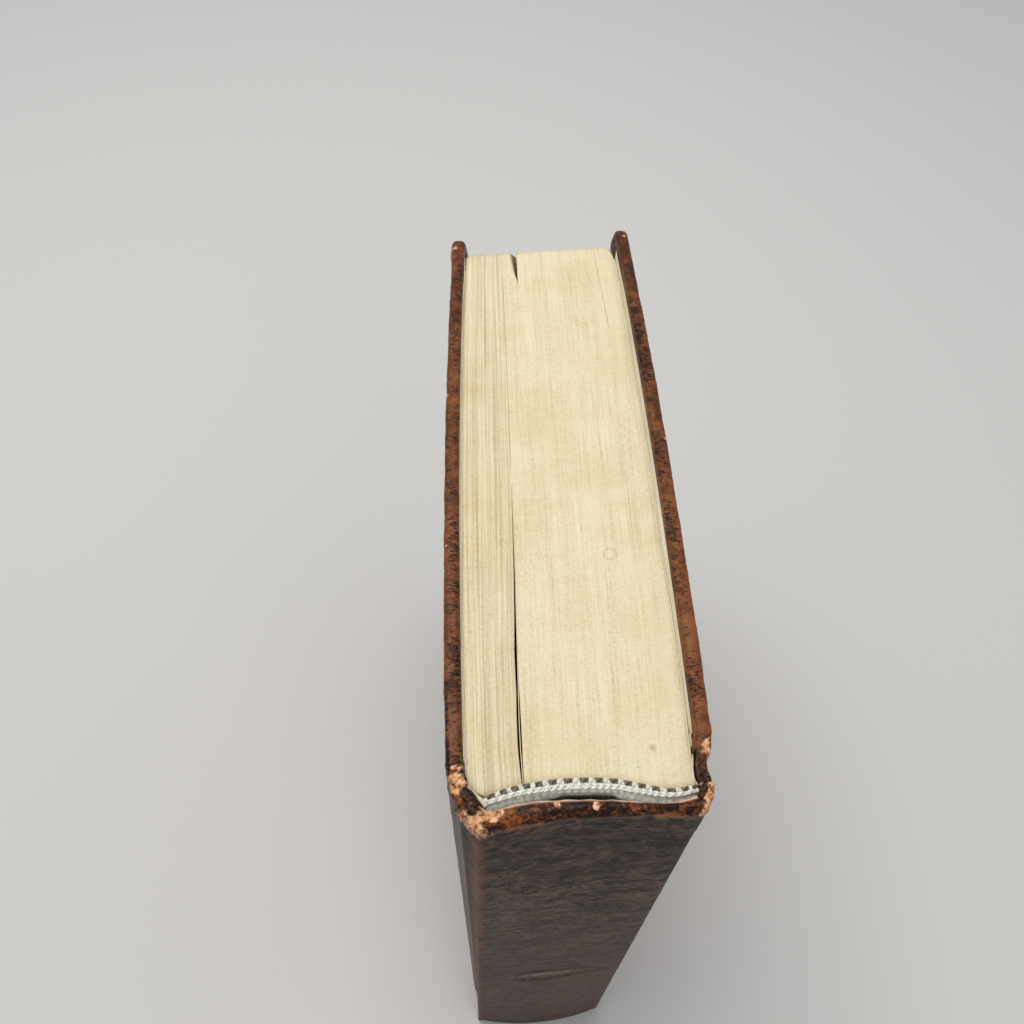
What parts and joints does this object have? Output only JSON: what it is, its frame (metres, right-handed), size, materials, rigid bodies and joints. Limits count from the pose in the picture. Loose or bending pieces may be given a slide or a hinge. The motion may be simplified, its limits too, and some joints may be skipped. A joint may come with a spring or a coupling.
{
  "type": "hardcover bible",
  "caption": "Thick old leather-bound hardcover book standing on its tail, with a hollow spine, stitched headbands and two covers that open.",
  "frame": {"origin": "middle of the box round the whole book, at the level of the tail that it stands on", "axes": "+Z from tail to head, +Y from the spine to the fore-edge, +X from the back cover to the front cover"},
  "size_m": [0.0624, 0.208, 0.235],
  "materials": {
    "pages": "trimmed thin paper, yellowed",
    "endpaper": "plain wove paper",
    "mull_cloth": "open starched cotton weave",
    "lining_paper": "brown kraft paper",
    "band_thread": "white and dark grey cotton stitching",
    "board": "grey millboard",
    "spine_leather": "dull worn leather, finely wrinkled",
    "cover_leather": "satin worn leather, tan where rubbed"
  },
  "bodies": {
    "book_block": {"text_block": "pages", "front_flyleaf": "endpaper", "back_flyleaf": "endpaper", "mull": "mull_cloth", "spine_lining": "lining_paper", "headband": "band_thread", "tailband": "band_thread", "spine_stiffener": "board", "spine_leather": "spine_leather"},
    "front_cover": {"front_board": "board", "front_leather": "cover_leather", "front_mull_flap": "mull_cloth", "front_pastedown": "endpaper"},
    "back_cover": {"back_board": "board", "back_leather": "cover_leather", "back_mull_flap": "mull_cloth", "back_pastedown": "endpaper"}
  },
  "joints": [
    {"name": "front_joint", "type": "hinge", "parent": "book_block", "child": "front_cover", "pos_m": [0.0274, -0.08817, 0.1175], "axis": [0, 0, -1], "range_deg": [0, 120]},
    {"name": "back_joint", "type": "hinge", "parent": "book_block", "child": "back_cover", "pos_m": [-0.0278, -0.09447, 0.235], "axis": [-0.0225, 0, 0.9997], "range_deg": [0, 135]}
  ]
}
